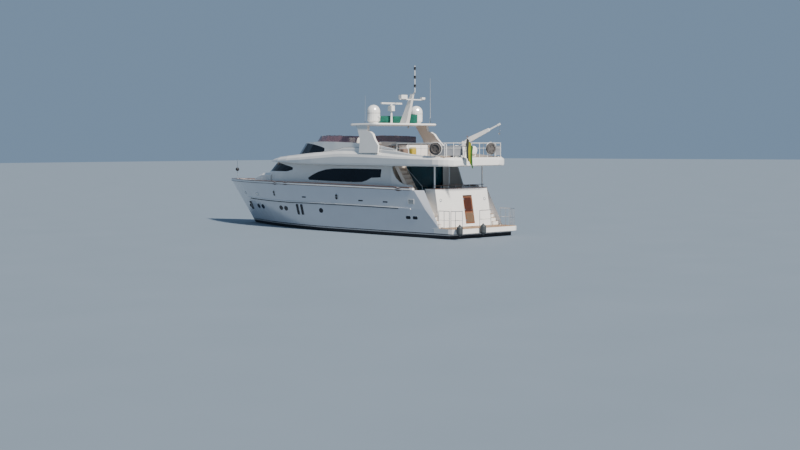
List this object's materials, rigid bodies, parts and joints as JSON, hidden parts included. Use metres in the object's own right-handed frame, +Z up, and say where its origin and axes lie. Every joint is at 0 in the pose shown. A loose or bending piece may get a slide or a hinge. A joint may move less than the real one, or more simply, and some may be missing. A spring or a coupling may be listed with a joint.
{
  "type": "motor yacht",
  "caption": "Raised-pilothouse motor yacht with a flybridge, a radar arch with satellite domes, a boat deck with a crane, stern stairs and a railed swim platform.",
  "frame": {"origin": "on the centreline at the waterline, amidships", "axes": "+X to the bow, +Y to port, +Z up"},
  "size_m": [28.915, 6.73, 13.32],
  "materials": {
    "gelcoat": "glossy",
    "antifouling": "matt",
    "glass": "glossy",
    "tinted_glass": "glossy",
    "teak": "satin",
    "varnished_wood": "glossy",
    "stainless": "polished",
    "bronze": "satin",
    "dark_canvas": "matt",
    "green_canvas": "matt",
    "cushion": "satin",
    "rubber": "matt",
    "flag_cloth": "matt",
    "aluminium": "satin"
  },
  "bodies": {
    "yacht": {"hull": "gelcoat", "hull_bottom": "antifouling", "cap_rail": "gelcoat", "house": "gelcoat", "saloon_glass_port": "glass", "saloon_glass_stbd": "glass", "windshield": "glass", "trunk": "gelcoat", "saloon_bulkhead": "glass", "boat_deck": "gelcoat", "boat_deck_forward": "gelcoat", "rim_port": "gelcoat", "rim_stbd": "gelcoat", "flybridge_coaming": "gelcoat", "flybridge_glass": "glass", "wind_screen": "tinted_glass", "helm_console": "dark_canvas", "helm_seat": "dark_canvas", "settee_base": "gelcoat", "settee_cushion": "cushion", "arch_top": "gelcoat", "arch_leg_port": "gelcoat", "arch_leg_stbd": "gelcoat", "dome_port": "gelcoat", "dome_stbd": "gelcoat", "radar_pedestal": "aluminium", "mast": "aluminium", "whip_antenna": "gelcoat", "arch_cover_long": "green_canvas", "arch_cover_round": "green_canvas", "boat_rail": "stainless", "lifebuoy_port": "dark_canvas", "lifebuoy_stbd": "dark_canvas", "deck_locker": "gelcoat", "pillar_port": "gelcoat", "pillar_stbd": "gelcoat", "wing_wall_port": "gelcoat", "wing_wall_stbd": "gelcoat", "flybridge_stair": "teak", "transom": "gelcoat", "transom_cap": "teak", "platform": "teak", "fender_port": "rubber", "fender_mid": "rubber", "ensign_staff": "varnished_wood", "ensign": "flag_cloth", "jackstaff": "stainless"},
    "propeller_port": {"propeller_port": "bronze"},
    "propeller_stbd": {"propeller_stbd": "bronze"},
    "rudder_port": {"rudder_port": "bronze"},
    "rudder_stbd": {"rudder_stbd": "bronze"},
    "radar_bar": {"radar_bar": "gelcoat"},
    "crane_column": {"crane_column": "aluminium"},
    "crane_boom": {"crane_boom": "aluminium"},
    "crane_hook": {"crane_hook": "stainless"},
    "crew_door": {"crew_door": "varnished_wood"},
    "gate_port": {"gate_port": "stainless"},
    "gate_stbd": {"gate_stbd": "stainless"},
    "saloon_door_port": {"saloon_door_port": "glass"},
    "saloon_door_stbd": {"saloon_door_stbd": "glass"}
  },
  "joints": [
    {"name": "propeller_port_spin", "type": "hinge", "parent": "yacht", "child": "propeller_port", "pos_m": [-11.3446, 1.35, -1.2414], "axis": [0.9928, 0, 0.1197], "continuous": true},
    {"name": "propeller_stbd_spin", "type": "hinge", "parent": "yacht", "child": "propeller_stbd", "pos_m": [-11.3446, -1.35, -1.2414], "axis": [0.9928, 0, 0.1197], "continuous": true},
    {"name": "rudder_port_turn", "type": "hinge", "parent": "yacht", "child": "rudder_port", "pos_m": [-12.45, 1.35, -1.2], "axis": [0, 0, 1], "range_deg": [-35, 35]},
    {"name": "rudder_stbd_turn", "type": "hinge", "parent": "yacht", "child": "rudder_stbd", "pos_m": [-12.45, -1.35, -1.2], "axis": [0, 0, 1], "range_deg": [-35, 35]},
    {"name": "radar_spin", "type": "hinge", "parent": "yacht", "child": "radar_bar", "pos_m": [-5.15, 0.15, 8.86], "axis": [0, 0, 1], "continuous": true},
    {"name": "crane_slew", "type": "hinge", "parent": "yacht", "child": "crane_column", "pos_m": [-11.5, -0.6, 5.2], "axis": [0, 0, 1], "range_deg": [-120, 120]},
    {"name": "crane_luff", "type": "hinge", "parent": "crane_column", "child": "crane_boom", "pos_m": [-11.5, -0.6, 6.13], "axis": [-0.4868, 0.8735, 0], "range_deg": [-6, 35]},
    {"name": "crane_hook_plumb", "type": "hinge", "parent": "crane_boom", "child": "crane_hook", "pos_m": [-13.6028, -1.7718, 7.3528], "axis": [-0.4868, 0.8735, 0], "range_deg": [-35, 6]},
    {"name": "crew_door_swing", "type": "hinge", "parent": "yacht", "child": "crew_door", "pos_m": [-12.27, -0.02, 0.65], "axis": [0.1733, 0, 0.9849], "range_deg": [-100, 0]},
    {"name": "gate_port_swing", "type": "hinge", "parent": "yacht", "child": "gate_port", "pos_m": [-10.95, 2.4363, 2.75], "axis": [0, 0, 1], "range_deg": [-90, 0]},
    {"name": "gate_stbd_swing", "type": "hinge", "parent": "yacht", "child": "gate_stbd", "pos_m": [-10.95, -2.4363, 2.75], "axis": [0, 0, 1], "range_deg": [0, 90]},
    {"name": "saloon_door_port_slide", "type": "slide", "parent": "yacht", "child": "saloon_door_port", "axis": [0, 1, 0], "range_m": [0, 0.9]},
    {"name": "saloon_door_stbd_slide", "type": "slide", "parent": "yacht", "child": "saloon_door_stbd", "axis": [0, -1, 0], "range_m": [0, 0.9]}
  ],
  "couplings": [
    {"joint": "rudder_stbd_turn", "follows": "rudder_port_turn", "ratio": 1},
    {"joint": "crane_hook_plumb", "follows": "crane_luff", "ratio": -1}
  ]
}
